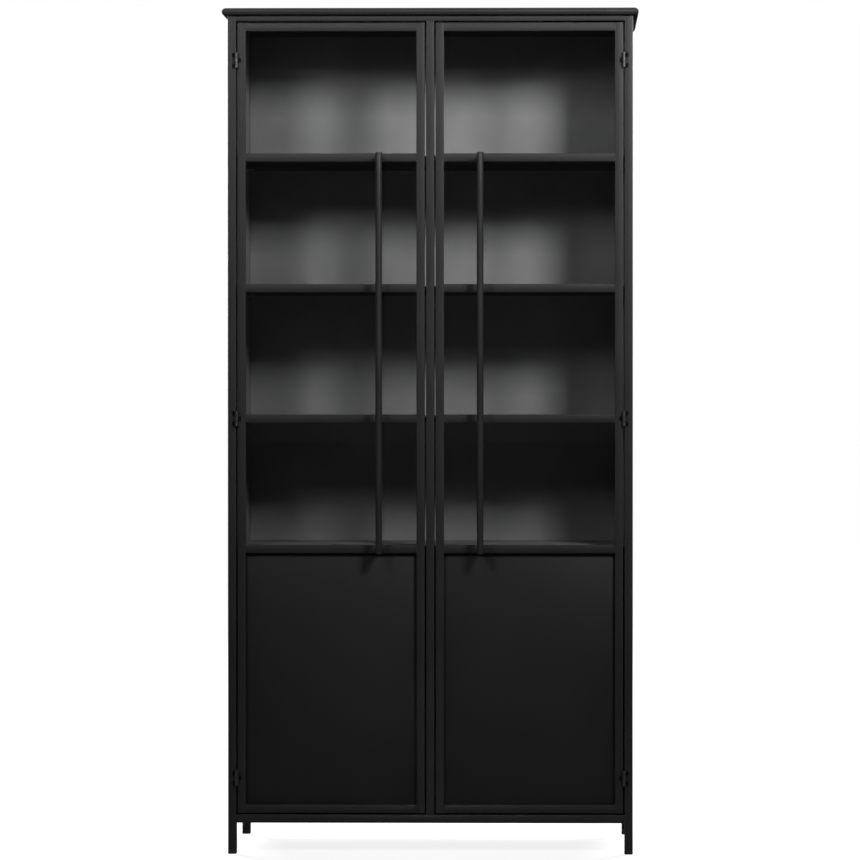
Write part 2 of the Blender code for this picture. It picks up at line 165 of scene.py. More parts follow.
# ---------------------------------------------------------------- materials
def powder_coat(name, shade, gloss, peel=0.10, dust=0.35, shine=0.2, coat=0.05):
    """Powder coat: orange peel, cured patches, fine grain, settled dust and rubbed spots."""
    material, tree, output = new_material(name)
    place = add_node(tree, "TexCoord").outputs["Object"]
    peel_waves = noise(tree, place, 420.0, 3.0, 0.45)
    grain = noise(tree, place, 2600.0, 2.0, 0.6)
    clouds = noise(tree, place, 5.5, 4.0, 0.55)
    rubs = noise(tree, place, 38.0, 6.0, 0.7)
    specks = add_node(tree, "TexVoronoi", {"Vector": place, "Scale": 900.0}).outputs["Distance"]

    darker, lighter = grey(shade * 0.88), grey(shade * 1.14)
    cured = blend_colours(tree, spread(tree, clouds, 0.0, 1.0), darker, lighter)
    speck_mask = spread(tree, specks, 0.22, 0.0, 0.0, 0.16)
    speckled = blend_colours(tree, speck_mask, cured, grey(shade * 2.4))
    dust_mask = arithmetic(tree, "MULTIPLY", upward(tree), spread(tree, rubs, 0.2 * dust, dust))
    dusted = blend_colours(tree, arithmetic(tree, "MULTIPLY", dust_mask, 0.22), speckled, grey(0.16, 0.03))

    base_roughness = spread(tree, clouds, gloss - 0.035, gloss + 0.035)
    grained = arithmetic(tree, "ADD", base_roughness, spread(tree, grain, -0.02, 0.03))
    rubbed = arithmetic(tree, "SUBTRACT", grained, spread(tree, rubs, 0.0, 0.07, 0.55, 0.75))
    roughness = arithmetic(tree, "ADD", rubbed, arithmetic(tree, "MULTIPLY", dust_mask, 0.18))

    height = arithmetic(tree, "ADD", peel_waves, arithmetic(tree, "MULTIPLY", grain, 0.18))
    bump_values = {"Strength": peel, "Distance": 0.0006, "Height": height}
    bump = add_node(tree, "Bump", bump_values).outputs["Normal"]
    values = {"Base Color": dusted, "Roughness": roughness, "Normal": bump}
    surface = add_node(tree, "BsdfPrincipled", values)
    surface.inputs["Specular IOR Level"].default_value = shine
    surface.inputs["Coat Weight"].default_value = coat
    surface.inputs["Coat Roughness"].default_value = 0.4
    tree.links.new(surface.outputs[0], output.inputs["Surface"])
    return material


def moulded_plastic(name, shade, roughness, grain_scale=1500.0):
    """Injection-moulded plastic: spark-eroded grain, flow marks and scuffs."""
    material, tree, output = new_material(name)
    place = add_node(tree, "TexCoord").outputs["Object"]
    grain = noise(tree, place, grain_scale, 3.0, 0.65)
    flow = noise(tree, place, 60.0, 3.0, 0.6)
    scuffs = noise(tree, place, 240.0, 5.0, 0.75)
    colour = blend_colours(tree, spread(tree, flow, 0.0, 1.0), grey(shade * 0.85), grey(shade * 1.15))
    scuffed = blend_colours(tree, spread(tree, scuffs, 0.0, 0.35, 0.6, 0.8), colour, grey(shade * 3.0))
    rough = arithmetic(tree, "ADD", spread(tree, grain, roughness - 0.05, roughness + 0.05),
                       spread(tree, scuffs, -0.03, 0.08))
    bump = add_node(tree, "Bump", {"Strength": 0.25, "Distance": 0.0002, "Height": grain})
    values = {"Base Color": scuffed, "Roughness": rough, "Normal": bump.outputs["Normal"]}
    surface = add_node(tree, "BsdfPrincipled", values)
    surface.inputs["Specular IOR Level"].default_value = 0.4
    tree.links.new(surface.outputs[0], output.inputs["Surface"])
    return material


def plated_steel(name, shade, roughness):
    """Zinc-plated steel: fine turning marks, patchy plating and dulled spots."""
    material, tree, output = new_material(name)
    place = add_node(tree, "TexCoord").outputs["Object"]
    turning = add_node(tree, "TexWave", {"Vector": place, "Scale": 1800.0, "Distortion": 3.0}).outputs["Fac"]
    patches = noise(tree, place, 190.0, 4.0, 0.6)
    colour = blend_colours(tree, spread(tree, patches, 0.0, 1.0), grey(shade * 0.8), grey(shade * 1.1, 0.02))
    rough = arithmetic(tree, "ADD", spread(tree, patches, roughness - 0.08, roughness + 0.1),
                       spread(tree, turning, 0.0, 0.06))
    bump = add_node(tree, "Bump", {"Strength": 0.15, "Distance": 0.0001, "Height": turning})
    values = {"Base Color": colour, "Roughness": rough, "Normal": bump.outputs["Normal"]}
    surface = add_node(tree, "BsdfPrincipled", values)
    surface.inputs["Metallic"].default_value = 1.0
    tree.links.new(surface.outputs[0], output.inputs["Surface"])
    return material


def clear_glass(name):
    """Float glass: a faint tint, more reflection at grazing angles and a thin film of wipe marks."""
    material, tree, output = new_material(name)
    place = add_node(tree, "TexCoord").outputs["Object"]
    wipes = noise(tree, place, 7.0, 5.0, 0.65)
    waves = noise(tree, place, 3.0, 1.0, 0.4)
    clean, wiped = (0.938, 0.941, 0.938, 1), (0.918, 0.922, 0.919, 1)
    tint = blend_colours(tree, spread(tree, wipes, 0.0, 1.0), clean, wiped)
    bump = add_node(tree, "Bump", {"Strength": 0.03, "Distance": 0.001, "Height": waves})
    gloss_values = {"Roughness": spread(tree, wipes, 0.0, 0.05, 0.4, 0.8), "Normal": bump.outputs["Normal"]}
    gloss = add_node(tree, "BsdfGlossy", gloss_values)
    through = add_node(tree, "BsdfTransparent", {"Color": tint})
    facing = add_node(tree, "LayerWeight", {"Blend": 0.5}).outputs["Facing"]
    grazing = arithmetic(tree, "POWER", facing, 5.0)
    mirror = add_node(tree, "Math", {0: grazing, 1: 0.96, 2: 0.04}, operation="MULTIPLY_ADD").outputs[0]
    shaders = {0: mirror, 1: through.outputs[0], 2: gloss.outputs[0]}
    tree.links.new(add_node(tree, "MixShader", shaders).outputs[0], output.inputs["Surface"])
    return material


def glass_edge(name):
    """The ground and polished edge of the glass: sea green, with a fine lapping pattern."""
    material, tree, output = new_material(name)
    place = add_node(tree, "TexCoord").outputs["Object"]
    lapping = noise(tree, place, 1400.0, 2.0, 0.5)
    depth = noise(tree, place, 20.0, 3.0, 0.5)
    deep_green, pale_green = (0.02, 0.10, 0.075, 1), (0.05, 0.17, 0.13, 1)
    colour = blend_colours(tree, spread(tree, depth, 0.0, 1.0), deep_green, pale_green)
    bump = add_node(tree, "Bump", {"Strength": 0.1, "Distance": 0.0001, "Height": lapping})
    rough = spread(tree, lapping, 0.12, 0.28)
    values = {"Base Color": colour, "Roughness": rough, "Normal": bump.outputs["Normal"]}
    surface = add_node(tree, "BsdfPrincipled", values)
    tree.links.new(surface.outputs[0], output.inputs["Surface"])
    return material


FRAME_COAT = powder_coat("frame_powder_coat", 0.013, 0.56)
# The cap's top and underside take a lighter, matte copy of the frame coat: the extra lightness is painted
# sheen in place of gloss.
CAP_TOP_PAINTED_SHEEN_COAT = powder_coat("cap_powder_coat_painted_sheen", 0.019, 0.60, dust=0.15, shine=0.0, coat=0.01)
DOOR_COAT = powder_coat("door_powder_coat", 0.013, 0.56)
DOOR_PANEL_COAT = powder_coat("door_panel_powder_coat", 0.0102, 0.58)
OUTER_PANEL_COAT = powder_coat("outer_panel_powder_coat", 0.013, 0.56)
INNER_PANEL_COAT = powder_coat("inner_panel_powder_coat", 0.19, 0.56)
SHELF_COAT = powder_coat("shelf_powder_coat", 0.18, 0.55)
HANDLE_COAT = powder_coat("handle_powder_coat", 0.018, 0.34, peel=0.07)
# The knuckles' finish is lighter than the frame coat: the extra lightness is painted highlight on the
# barrel.
HINGE_COAT = powder_coat("hinge_black_finish", 0.018, 0.45, peel=0.01, shine=0.5)
# The hinge leaves take a much darker matte copy of the hinge finish: painted shade round the barrel.
HINGE_LEAF_PAINTED_SHADE_COAT = powder_coat("hinge_leaf_painted_shade_finish", 0.005, 0.62, shine=0.0, coat=0.0)
FOOT_PLASTIC = moulded_plastic("foot_plastic", 0.010, 0.55)
CATCH_PLASTIC = moulded_plastic("catch_plastic", 0.016, 0.48)
SEAL_RUBBER = moulded_plastic("seal_rubber", 0.008, 0.68, 3000.0)
STEEL = plated_steel("zinc_plated_steel", 0.62, 0.34)
BLACK_SCREW = plated_steel("black_oxide_steel", 0.09, 0.42)
GLASS = clear_glass("door_glass_clear")
GLASS_EDGE = glass_edge("door_glass_edge")


# ---------------------------------------------------------------- mesh helpers
def add_block(mesh, low, high, radius, segments=2):
    """A block between two corners, with its edges rounded."""
    low, high = Vector(low), Vector(high)
    made = bmesh.ops.create_cube(mesh, size=1.0)["verts"]
    for vertex in made:
        vertex.co = [low[i] + (vertex.co[i] + 0.5) * (high[i] - low[i]) for i in range(3)]
    edges = {edge for vertex in made for edge in vertex.link_edges}
    bmesh.ops.bevel(mesh, geom=list(edges), offset=radius, segments=segments, profile=0.5,
                    affect="EDGES", clamp_overlap=True)


def add_turning(mesh, start, axis, profile, steps):
    """A turned solid: the profile is (radius, distance along the axis) from the start."""
    start, axis = Vector(start), Vector(axis).normalized()
    across = axis.orthogonal().normalized()
    over = axis.cross(across)
    rings = []
    for radius, along in profile:
        centre = start + axis * along
        if radius < 1e-7:
            rings.append([mesh.verts.new(centre)])
            continue
        turns = [math.tau * i / steps for i in range(steps)]
        rings.append([mesh.verts.new(centre + radius * (math.cos(t) * across + math.sin(t) * over))
                      for t in turns])
    for lower, upper in zip(rings, rings[1:]):
        join_rings(mesh, lower, upper, steps)
    for ring, flip in ((rings[0], True), (rings[-1], False)):
        if len(ring) > 1:
            mesh.faces.new(list(reversed(ring)) if flip else ring)


def join_rings(mesh, lower, upper, steps):
    """Faces between two rings; either may be a single point."""
    for i in range(steps):
        j = (i + 1) % steps
        if len(lower) == 1:
            mesh.faces.new((lower[0], upper[j], upper[i]))
        elif len(upper) == 1:
            mesh.faces.new((lower[i], lower[j], upper[0]))
        else:
            mesh.faces.new((lower[i], lower[j], upper[j], upper[i]))


def add_prism(mesh, outline, offset):
    """A prism from a flat outline of points and the vector to its other end."""
    first = [mesh.verts.new(Vector(point)) for point in outline]
    second = [mesh.verts.new(Vector(point) + Vector(offset)) for point in outline]
    mesh.faces.new(list(reversed(first)))
    mesh.faces.new(second)
    count = len(outline)
    for i in range(count):
        j = (i + 1) % count
        mesh.faces.new((first[i], first[j], second[j], second[i]))


def spaced(low, high, margin, count):
    """Evenly spaced places between two ends, with a margin at each."""
    return [low + margin + (high - low - 2 * margin) * i / (count - 1) for i in range(count)]


def reach(origin, direction, start, end):
    """The two ends of a stretch that runs in a direction, lowest first."""
    return sorted((origin + direction * start, origin + direction * end))


def make_piece(name, mesh, body, material, replaces=(), sharp_angle=38):
    """Turns the mesh into a piece that rides on a body."""
    bmesh.ops.recalc_face_normals(mesh, faces=mesh.faces)
    data = bpy.data.meshes.new(name)
    mesh.to_mesh(data)
    mesh.free()
    for polygon in data.polygons:
        polygon.use_smooth = True
    data.set_sharp_from_angle(angle=math.radians(sharp_angle))
    data.materials.append(material)
    piece = bpy.data.objects.new(name, data)
    bpy.context.scene.collection.objects.link(piece)
    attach(piece, body)
    if replaces:
        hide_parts(*replaces)
    return piece


# ---------------------------------------------------------------- CAD nodes that are shown as they are
def coat_node(name, material):
    """Gives a CAD node its finish and smooth rounded edges."""
    node = nodes[name]
    node.data.materials.clear()
    node.data.materials.append(material)
    for polygon in node.data.polygons:
        polygon.use_smooth = True
        polygon.material_index = 0
    weld = node.modifiers.new("weld", "WELD")
    weld.merge_threshold = 0.00002
    split = node.modifiers.new("split", "EDGE_SPLIT")
    split.split_angle = SPLIT_ANGLE
    return node


def coat_inner_faces(name, inside, material):
    """The faces of a panel that look into the case get their own finish."""
    data = nodes[name].data
    data.materials.append(material)
    inward = Vector(inside)
    for polygon in data.polygons:
        if polygon.normal.dot(inward) > FACING:
            polygon.material_index = 1


def coat_carcass():
    """Finishes of the posts, rails, panels and shelves; only a shelf's top is light, and its underside and
    lips take the black frame coat as painted shade.
    """
    for name in nodes:
        if name.startswith(("post_", "top_rail_", "base_rail_")):
            coat_node(name, FRAME_COAT)
    inward = {
        "side_panel_left": (1, 0, 0),
        "side_panel_right": (-1, 0, 0),
        "back_panel": (0, -1, 0),
        "floor_panel": (0, 0, 1),
    }
    for name, inside in inward.items():
        coat_node(name, OUTER_PANEL_COAT)
        coat_inner_faces(name, inside, INNER_PANEL_COAT)
    painted_shade_normal_limit = 0.5
    for name in SHELVES:
        shelf = coat_node(name, SHELF_COAT)
        # Shelf faces that do not look up take the black frame coat: painted shade on the underside and lips.
        shelf.data.materials.append(FRAME_COAT)
        for polygon in shelf.data.polygons:
            if polygon.normal.z < painted_shade_normal_limit:
                polygon.material_index = 1


def coat_doors():
    """Finishes of the door frames, lower panels and glass."""
    members = ["hinge_stile", "lock_stile", "top_rail", "bottom_rail"] + TRANSOMS
    for side in SIDES:
        for member in members:
            coat_node(f"{side}_door_{member}", DOOR_COAT)
        coat_node(f"{side}_door_lower_panel", DOOR_PANEL_COAT)
        glass = coat_node(f"{side}_door_glass", GLASS)
        glass.data.materials.append(GLASS_EDGE)
        for polygon in glass.data.polygons:
            if abs(polygon.normal.y) < FACING:
                polygon.material_index = 1


# ---------------------------------------------------------------- cap
def add_outline(mesh, low, high, radius, z):
    """A level ring of vertices round a rectangle with rounded corners."""
    steps = 6
    ring = []
    for quarter, (side_x, side_y) in enumerate(((1, 1), (-1, 1), (-1, -1), (1, -1))):
        x = (high[0] if side_x > 0 else low[0]) - side_x * radius
        y = (high[1] if side_y > 0 else low[1]) - side_y * radius
        for i in range(steps + 1):
            turn = math.pi / 2 * (quarter + i / steps)
            ring.append(mesh.verts.new((x + radius * math.cos(turn), y + radius * math.sin(turn), z)))
    return ring


def cap_profile(bottom, top):
    """The cap's edge from the top down: its inset at the front and sides, at the back, and its height."""
    lip_drop, top_reach, under_reach = 0.0082, 0.0110, 0.0090
    bend, back_share, steps = 1.2, 0.35, 8
    under_drop = top - bottom - lip_drop
    profile = []
    for i in range(steps + 1):
        turn = math.pi / 2 * (1 - i / steps)
        inset = top_reach * (1 - math.cos(turn) ** bend)
        profile.append((inset, inset * back_share, top - lip_drop * (1 - math.sin(turn) ** bend)))
    for i in range(1, steps + 1):
        turn = math.pi / 2 * i / steps
        inset = under_reach * (1 - math.cos(turn))
        profile.append((inset, 0.0, top - lip_drop - under_drop * math.sin(turn)))
    return profile


def make_cap():
    """The sheet cap: its edge falls gently to a lip high up, then turns under to the frame."""
    low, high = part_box("top_cap")
    corner, sheet, gap = 0.009, 0.0012, 0.0003
    mesh = bmesh.new()
    rings = []
    for inset, back_inset, z in cap_profile(low.z, high.z):
        start, end = (low.x + inset, low.y + inset), (high.x - inset, high.y - back_inset)
        rings.append(add_outline(mesh, start, end, max(corner - inset, gap), z))
    frame_low, frame_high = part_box("post_front_left")[0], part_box("post_rear_right")[1]
    start, end = (frame_low.x - gap, frame_low.y - gap), (frame_high.x + gap, frame_high.y + gap)
    for z in (low.z, high.z - sheet):
        rings.append(add_outline(mesh, start, end, gap, z))
    for first, second in zip(rings, rings[1:]):
        join_rings(mesh, first, second, len(first))
    mesh.faces.new(rings[0])
    mesh.faces.new(list(reversed(rings[-1])))
    cap = make_piece("cap_shell", mesh, "carcass", CAP_TOP_PAINTED_SHEEN_COAT, ["top_cap"], 30)
    # The lip takes the glossier frame coat; the top and underside keep the lighter matte copy, whose
    # lightness is painted sheen.
    cap.data.materials.append(FRAME_COAT)
    downward_limit = -0.25
    for polygon in cap.data.polygons:
        if downward_limit < polygon.normal.z < FACING:
            polygon.material_index = 1


# ---------------------------------------------------------------- handles
def bar_profile(radius, length):
    """The turned outline of the bar, with rounded ends."""
    end, end_steps, stretches = 0.0022, 6, 12
    corner = []
    for i in range(end_steps + 1):
        turn = math.pi / 2 * i / end_steps
        corner.append((radius - end + end * math.sin(turn), end - end * math.cos(turn)))
    profile = [(0.0, 0.0)] + corner
    profile += [(radius, length * i / stretches) for i in range(1, stretches)]
    return profile + [(r, length - h) for r, h in reversed(corner)] + [(0.0, length)]


def standoff_profile(length):
    """The turned outline of a standoff, from the bar's axis to its weld collar."""
    radius, collar = 0.007, 0.0088
    profile = [(0.0, 0.0), (radius, 0.0), (radius, length - 0.0022)]
    return profile + [(0.0074, length - 0.0012), (0.0084, length - 0.0003), (collar, length)]


def make_handle(side):
    """A round bar with rounded ends on two turned standoffs, each with a weld collar."""
    node = f"{side}_door_handle"
    low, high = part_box(node)
    radius = (high.x - low.x) / 2
    centre_x = (low.x + high.x) / 2
    axis_y = low.y + radius
    mesh = bmesh.new()
    bar = bar_profile(radius, high.z - low.z)
    add_turning(mesh, (centre_x, axis_y, low.z), (0, 0, 1), bar, 48)
    for transom in ("transom_1", "transom_4"):
        box_low, box_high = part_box(f"{side}_door_{transom}")
        height = (box_low.z + box_high.z) / 2
        add_turning(mesh, (centre_x, axis_y, height), (0, 1, 0), standoff_profile(high.y - axis_y), 32)
    make_piece(f"{side}_handle_bar", mesh, f"{side}_door", HANDLE_COAT, [node])


# ---------------------------------------------------------------- hinges
def knuckle_profile(radius, length):
    """The turned outline of one knuckle, with its small end chamfers."""
    edge = 0.0006
    return [(0.0, 0.0), (radius - edge, 0.0), (radius, edge), (radius, length - edge),
            (radius - edge, length), (0.0, length)]


def add_leaf(mesh, x_barrel, x_end, y, z_low, z_high):
    """A formed leaf from the barrel to the frame it is welded to."""
    low = (min(x_barrel, x_end), y, z_low)
    high = (max(x_barrel, x_end), FRONT_Y + 0.0002, z_high)
    add_block(mesh, low, high, 0.0003, 2)


def make_hinge(side, level):
    """Three knuckles on a pin: the outer two on the post, the middle one on the door."""
    post_node = f"{side}_{level}_hinge_pin_half"
    door_node = f"{side}_{level}_hinge_door_half"
    post_low, post_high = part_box(post_node)
    door_low, door_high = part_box(door_node)
    outward = -1 if side == "left" else 1
    radius, pin_radius, pin_inset = 0.0045, 0.0026, 0.001
    play, leaf_thickness, leaf_inset = 0.0004, 0.0009, 0.0006
    axis_x, axis_y = outward * HINGE_AXIS_X, post_low.y + radius
    leaf_y = FRONT_Y - leaf_thickness
    leaf_reach = outward * (radius + 0.006)

    post, post_leaves = bmesh.new(), bmesh.new()
    for z_low, z_high in ((post_low.z, door_low.z - play), (door_high.z + play, post_high.z)):
        knuckle = knuckle_profile(radius, z_high - z_low)
        add_turning(post, (axis_x, axis_y, z_low), (0, 0, 1), knuckle, 36)
        add_leaf(post_leaves, axis_x, axis_x + leaf_reach, leaf_y, z_low + leaf_inset, z_high - leaf_inset)
    pin_length = post_high.z - post_low.z - 2 * pin_inset
    pin = [(0.0, 0.0), (pin_radius, 0.0), (pin_radius, pin_length), (0.0, pin_length)]
    add_turning(post, (axis_x, axis_y, post_low.z + pin_inset), (0, 0, 1), pin, 20)
    name = f"{side}_{level}_hinge"
    make_piece(f"{name}_post_knuckles", post, "carcass", HINGE_COAT, [post_node])
    # The post leaves get the darker copy of the hinge finish: painted shade beside the barrel.
    make_piece(f"{name}_post_leaves", post_leaves, "carcass", HINGE_LEAF_PAINTED_SHADE_COAT)

    door, door_leaf = bmesh.new(), bmesh.new()
    knuckle = knuckle_profile(radius, door_high.z - door_low.z)
    add_turning(door, (axis_x, axis_y, door_low.z), (0, 0, 1), knuckle, 36)
    leaf_low, leaf_high = door_low.z + leaf_inset, door_high.z - leaf_inset
    add_leaf(door_leaf, axis_x, axis_x - leaf_reach, leaf_y, leaf_low, leaf_high)
    make_piece(f"{name}_door_knuckle", door, f"{side}_door", HINGE_COAT, [door_node])
    # The door leaf gets the darker copy of the hinge finish: painted shade beside the barrel.
    make_piece(f"{name}_door_leaf", door_leaf, f"{side}_door", HINGE_LEAF_PAINTED_SHADE_COAT)


# ---------------------------------------------------------------- feet
def make_foot(corner):
    """A moulded push-in cap: a rounded sole, a collar lip, and a plug above it inside the tube."""
    node = f"foot_cap_{corner}"
    low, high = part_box(node)
    centre = (low + high) / 2
    collar_top, sole_drop, collar_height = 0.010, 0.0014, 0.0022
    lip, plug_half, overlap = 0.0004, 0.0082, 0.001
    mesh = bmesh.new()
    add_block(mesh, low, (high.x, high.y, collar_top - sole_drop), 0.0026, 4)
    add_block(mesh, (low.x + lip, low.y + lip, collar_top - collar_height),
              (high.x - lip, high.y - lip, collar_top), 0.0003, 1)
    add_block(mesh, (centre.x - plug_half, centre.y - plug_half, collar_top - overlap),
              (centre.x + plug_half, centre.y + plug_half, high.z), 0.0008, 2)
    make_piece(f"foot_{corner}", mesh, "carcass", FOOT_PLASTIC, [node])


# ---------------------------------------------------------------- welds, screws, clips
def add_fillet(mesh, corner, along_x, along_z, depth_low, depth_high, size):
    """A concave weld fillet in the inside corner of two tubes; the directions point into the opening."""
    x, z = corner
    steps, root = 5, -0.0004
    arc = []
    for i in range(steps + 1):
        turn = math.pi / 2 * i / steps
        arc.append((size * (1 - math.sin(turn)), size * (1 - math.cos(turn))))
    outline = [(root, root), (root, size)] + list(reversed(arc)) + [(size, root)]
    points = [(x + along_x * u, depth_low, z + along_z * w) for u, w in outline]
    add_prism(mesh, points, (0, depth_high - depth_low, 0))


def make_door_welds(side):
    """Weld fillets in the inside corners of the door frame's openings."""
    stiles = [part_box(f"{side}_door_{name}_stile") for name in ("hinge", "lock")]
    x_low = min(high.x for low, high in stiles)
    x_high = max(low.x for low, high in stiles)
    rails = [f"{side}_door_{name}" for name in ("bottom_rail", *reversed(TRANSOMS), "top_rail")]
    mesh = bmesh.new()
    inset, size = 0.0012, 0.0016
    front, back = FRONT_Y + inset, DOOR_BACK_Y - inset
    for lower, upper in zip(rails, rails[1:]):
        z_low, z_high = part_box(lower)[1].z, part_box(upper)[0].z
        for x, along_x in ((x_low, 1), (x_high, -1)):
            add_fillet(mesh, (x, z_low), along_x, 1, front, back, size)
            add_fillet(mesh, (x, z_high), along_x, -1, front, back, size)
    make_piece(f"{side}_door_weld_fillets", mesh, f"{side}_door", DOOR_COAT)


def add_seam(mesh, x, z_low, z_high, y, toward):
    """A dressed weld seam: a strip with a soft crown across a butt joint on a flat face."""
    half, crown, root, steps = 0.0011, 0.00012, 0.0006, 6
    profile = []
    for i in range(steps + 1):
        profile.append((-half + 2 * half * i / steps, crown * math.sin(math.pi * i / steps)))
    outline = [(x + u, y - toward * w, z_low) for u, w in profile]
    outline += [(x + half, y + toward * root, z_low), (x - half, y + toward * root, z_low)]
    add_prism(mesh, outline, (0, 0, z_high - z_low))


def make_door_seams(side):
    """Dressed seams where the rails and transoms meet the stiles, front and back."""
    mesh = bmesh.new()
    for name in ("top_rail", "bottom_rail", *TRANSOMS):
        low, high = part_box(f"{side}_door_{name}")
        for x in (low.x - SEAM_SHIFT, high.x + SEAM_SHIFT):
            add_seam(mesh, x, low.z + SEAM_INSET, high.z - SEAM_INSET, FRONT_Y, 1)
            add_seam(mesh, x, low.z + SEAM_INSET, high.z - SEAM_INSET, DOOR_BACK_Y, -1)
    make_piece(f"{side}_door_weld_seams", mesh, f"{side}_door", DOOR_COAT)


def make_carcass_seams():
    """Dressed seams where the front and rear rails meet the posts."""
    mesh = bmesh.new()
    back_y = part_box("post_rear_left")[1].y
    for name, y, toward in (("base_rail_front", FRONT_Y, 1), ("top_rail_front", FRONT_Y, 1),
                            ("base_rail_rear", back_y, -1), ("top_rail_rear", back_y, -1)):
        low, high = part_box(name)
        for x in (low.x - SEAM_SHIFT, high.x + SEAM_SHIFT):
            add_seam(mesh, x, low.z + SEAM_INSET, high.z - SEAM_INSET, y, toward)
    make_piece("carcass_weld_seams", mesh, "carcass", FRAME_COAT)


def add_screw(mesh, place, direction, head, rise):
    """A domed head with a round recess in the middle, for screws and rivets."""
    root = -0.0004
    arc = [(head * math.cos(a), rise * math.sin(a)) for a in (math.pi / 2 * i / 6 for i in range(5))]
    recess = [(head * 0.42, rise), (head * 0.36, rise * 0.45), (0.0, rise * 0.4)]
    add_turning(mesh, place, direction, [(0.0, root), (head, root)] + arc + recess, 20)


def add_glass_clip(clips, pads, screws, edge_x, toward, z):
    """A Z-shaped clip: a foot on the frame, a web, and a lip that presses a pad on the glass."""
    sheet, half, edge = 0.0009, 0.008, 0.0003
    pad_sheet, pad_half, pad_edge = 0.0006, 0.007, 0.0002
    web_near, web_far = -0.0008, -0.0017
    lip_front, lip_back = GLASS_BACK_Y + 0.0005, GLASS_BACK_Y + 0.0014
    foot = reach(edge_x, toward, -0.0105, web_near)
    web = reach(edge_x, toward, web_far, web_near)
    lip = reach(edge_x, toward, web_far, 0.0065)
    pad = reach(edge_x, toward, 0.0005, 0.006)
    foot_back, pad_back = DOOR_BACK_Y + sheet, GLASS_BACK_Y + pad_sheet
    add_block(clips, (foot[0], DOOR_BACK_Y, z - half), (foot[1], foot_back, z + half), edge)
    add_block(clips, (web[0], DOOR_BACK_Y, z - half), (web[1], lip_back, z + half), edge)
    add_block(clips, (lip[0], lip_front, z - half), (lip[1], lip_back, z + half), edge)
    add_block(pads, (pad[0], GLASS_BACK_Y, z - pad_half), (pad[1], pad_back, z + pad_half), pad_edge)
    add_screw(screws, (edge_x - toward * 0.0062, foot_back, z), (0, 1, 0), 0.0029, 0.0014)


def make_glass_clips(side):
    """The clips along both edges of the glass and of the lower panel, behind the door frame."""
    low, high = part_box(f"{side}_door_glass")
    panel_low, panel_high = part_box(f"{side}_door_lower_panel")
    clips, pads, screws = bmesh.new(), bmesh.new(), bmesh.new()
    margin = 0.05
    heights = spaced(low.z, high.z, margin, 6) + spaced(panel_low.z, panel_high.z, margin, 4)
    for edge_x, toward in ((low.x, 1), (high.x, -1)):
        for z in heights:
            add_glass_clip(clips, pads, screws, edge_x, toward, z)
    body = f"{side}_door"
    make_piece(f"{side}_door_glass_clips", clips, body, DOOR_COAT)
    make_piece(f"{side}_door_clip_pads", pads, body, SEAL_RUBBER)
    make_piece(f"{side}_door_clip_screws", screws, body, BLACK_SCREW)


def add_shelf_bracket(brackets, rivets, sign, y, shelf_z):
    """An angle bracket: a leg on the side panel, a seat under the shelf, and two rivets."""
    sheet, half, edge, gap = 0.0014, 0.014, 0.0004, 0.0002
    leg_drop, seat_width, rivet_drop, rivet_shift = 0.017, 0.016, 0.0095, 0.008
    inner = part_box("side_panel_right")[0].x
    wall = sorted((sign * inner, sign * (inner - sheet)))
    seat = sorted((sign * inner, sign * (inner - seat_width)))
    top = shelf_z - gap
    add_block(brackets, (wall[0], y - half, shelf_z - leg_drop), (wall[1], y + half, top), edge)
    add_block(brackets, (seat[0], y - half, shelf_z - sheet - gap), (seat[1], y + half, top), edge)
    for shift in (-rivet_shift, rivet_shift):
        place = (sign * (inner - sheet), y + shift, shelf_z - rivet_drop)
        add_screw(rivets, place, (-sign, 0, 0), 0.0026, 0.0012)


def make_shelf_brackets():
    """Angle brackets under the shelf ends, riveted to the side panels."""
    brackets, rivets = bmesh.new(), bmesh.new()
    end_distance = 0.055
    for name in SHELVES:
        low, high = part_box(name)
        for sign in (-1, 1):
            for y in (low.y + end_distance, high.y - end_distance):
                add_shelf_bracket(brackets, rivets, sign, y, low.z)
    make_piece("shelf_brackets", brackets, "carcass", SHELF_COAT)
    make_piece("shelf_bracket_rivets", rivets, "carcass", BLACK_SCREW)


def make_rivets():
    """Blind rivets that hold the back panel to the frame, seen from behind."""
    mesh = bmesh.new()
    low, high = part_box("back_panel")
    face = low.y + 0.001
    edge, end, head, rise = 0.016, 0.06, 0.003, 0.0011
    for z in spaced(low.z, high.z, end, 9):
        for x in (low.x + edge, high.x - edge):
            add_screw(mesh, (x, face, z), (0, 1, 0), head, rise)
    for x in spaced(low.x, high.x, edge, 7)[1:-1]:
        for z in (low.z + edge, high.z - edge):
            add_screw(mesh, (x, face, z), (0, 1, 0), head, rise)
    make_piece("back_panel_rivets", mesh, "carcass", STEEL)


def add_spot_weld(mesh, place, direction):
    """The shallow ring that an electrode leaves around a spot weld."""
    outer, crest_outer, crest_inner, inner = 0.0036, 0.0032, 0.0027, 0.0022
    root, crest, dish, middle = -0.0003, 0.00022, 0.00003, 0.00006
    profile = [(0.0, root), (outer, root), (outer, 0.0), (crest_outer, crest), (crest_inner, crest)]
    add_turning(mesh, place, direction, profile + [(inner, dish), (0.0, middle)], 20)


def make_spot_welds():
    """Rows of spot welds where the shelves meet the back and side panels, seen from outside."""
    mesh = bmesh.new()
    back_low, back_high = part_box("back_panel")
    side_low, side_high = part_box("side_panel_right")
    rise = 0.001
    for name in SHELVES:
        low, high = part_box(name)
        z = (low.z + high.z) / 2
        for x in spaced(back_low.x, back_high.x, 0.08, 7):
            add_spot_weld(mesh, (x, back_low.y + rise, z), (0, 1, 0))
        for y in spaced(side_low.y, side_high.y, 0.04, 4):
            for sign in (-1, 1):
                add_spot_weld(mesh, (sign * (side_low.x + rise), y, z), (sign, 0, 0))
    make_piece("panel_spot_welds", mesh, "carcass", OUTER_PANEL_COAT)


